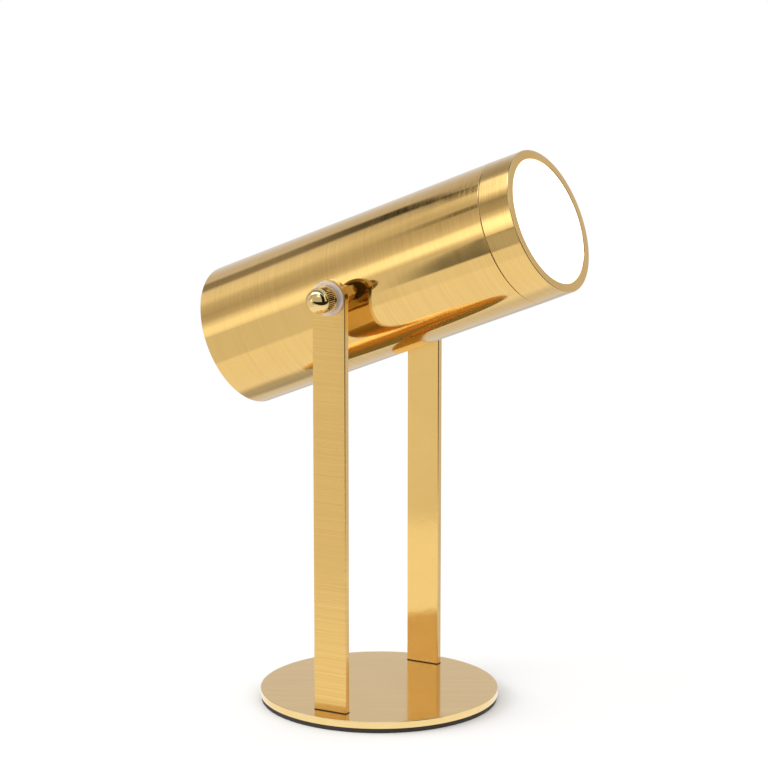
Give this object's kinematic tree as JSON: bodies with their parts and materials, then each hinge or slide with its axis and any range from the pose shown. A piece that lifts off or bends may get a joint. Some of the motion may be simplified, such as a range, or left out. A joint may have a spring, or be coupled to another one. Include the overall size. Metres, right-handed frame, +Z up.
{
  "type": "table lamp",
  "caption": "Tabletop searchlight lamp: a brushed brass tube head with a lit front, tilting between two flat uprights on a round base, with a clamp knob on each side.",
  "frame": {"origin": "middle of the base's underside, on the surface that the lamp stands on", "axes": "+Z up; +X is the way the head points; +Y is the left side of someone behind the lamp, along the pivot"},
  "size_m": [0.2197, 0.146, 0.3145],
  "materials": {
    "tube_brass": "lacquered brass, brushed round the tube",
    "cap_brass": "lacquered brass, turned",
    "plate_brass": "lacquered brass, brushed in straight lines",
    "bar_brass": "lacquered brass, brushed across the bar",
    "polished_brass": "polished brass",
    "zinc_steel": "zinc-plated steel",
    "aluminium": "plain aluminium",
    "reflector_metal": "bright aluminium",
    "pad_rubber": "matt black rubber",
    "dark_fibre": "dark fibre washer",
    "clear_plastic": "clear soft plastic",
    "opal": "opal acrylic, lit from behind",
    "lit_phosphor": "LED phosphor, lit",
    "nylon": "natural nylon",
    "black_plastic": "black moulded plastic",
    "board_green": "green solder mask",
    "foam_tape": "black foam tape",
    "cell_wrap": "blue heat-shrink wrap",
    "wire_red": "red wire insulation",
    "wire_black": "black wire insulation",
    "wire_blue": "blue wire insulation",
    "wire_white": "white wire insulation"
  },
  "bodies": {
    "stand": {"base_plate": "plate_brass", "base_pad": "pad_rubber", "upright_left": "bar_brass", "upright_right": "bar_brass", "upright_screws": "zinc_steel", "pivot_bush_left": "nylon", "pivot_bush_right": "nylon", "friction_washer_left": "dark_fibre", "friction_washer_right": "dark_fibre"},
    "head": {"battery_cells": "cell_wrap", "battery_contacts": "zinc_steel", "battery_holder": "black_plastic", "battery_wire_black": "wire_black", "battery_wire_red": "wire_red", "board_components": "black_plastic", "board_screws": "zinc_steel", "board_standoffs": "zinc_steel", "chassis": "aluminium", "clamp_nut_left": "polished_brass", "clamp_nut_right": "polished_brass", "control_board": "board_green", "diffuser": "opal", "diffuser_gasket": "pad_rubber", "front_ring": "tube_brass", "head_tube": "tube_brass", "heat_sink": "aluminium", "heat_sink_screws": "zinc_steel", "holder_tape": "foam_tape", "led_board": "aluminium", "led_board_screws": "zinc_steel", "led_chips": "lit_phosphor", "led_wire_black": "wire_black", "led_wire_red": "wire_red", "light_pipe": "clear_plastic", "lock_nut_left": "zinc_steel", "lock_nut_right": "zinc_steel", "pivot_stud_left": "zinc_steel", "pivot_stud_right": "zinc_steel", "rear_cap": "cap_brass", "rear_cap_screws": "zinc_steel", "reflector": "reflector_metal", "retaining_ring": "aluminium", "saddle_left": "aluminium", "saddle_right": "aluminium", "spacer_left": "polished_brass", "spacer_right": "polished_brass", "switch_bezel": "polished_brass", "switch_body": "black_plastic", "switch_nut": "zinc_steel", "switch_terminals": "zinc_steel", "switch_wire_blue": "wire_blue", "switch_wire_white": "wire_white", "usb_port": "zinc_steel"},
    "washer_left": {"clear_washer_left": "clear_plastic"},
    "washer_right": {"clear_washer_right": "clear_plastic"},
    "knob_left": {"clamp_knob_left": "polished_brass"},
    "knob_right": {"clamp_knob_right": "polished_brass"},
    "button": {"push_button": "polished_brass"}
  },
  "joints": [
    {"name": "head_tilt", "type": "hinge", "parent": "stand", "child": "head", "pos_m": [0, 0, 0.236], "axis": [0, -1, 0], "continuous": true},
    {"name": "clamp_slide_left", "type": "slide", "parent": "head", "child": "washer_left", "axis": [0, 1, 0], "range_m": [0, 0.001]},
    {"name": "clamp_turn_left", "type": "hinge", "parent": "washer_left", "child": "knob_left", "pos_m": [0, 0.0576, 0.236], "axis": [0, 1, 0], "range_deg": [0, 360]},
    {"name": "clamp_slide_right", "type": "slide", "parent": "head", "child": "washer_right", "axis": [0, -1, 0], "range_m": [0, 0.001]},
    {"name": "clamp_turn_right", "type": "hinge", "parent": "washer_right", "child": "knob_right", "pos_m": [0, -0.0576, 0.236], "axis": [0, -1, 0], "range_deg": [0, 360]},
    {"name": "button_press", "type": "slide", "parent": "head", "child": "button", "axis": [0.9272, 0, 0.3746], "range_m": [0, 0.001], "stiffness_N_per_m": 1200, "springref_m": -0.0006}
  ],
  "couplings": [
    {"joint": "clamp_turn_left", "follows": "clamp_slide_left", "rad_per_m": 6283},
    {"joint": "clamp_turn_right", "follows": "clamp_slide_right", "rad_per_m": 6283}
  ]
}
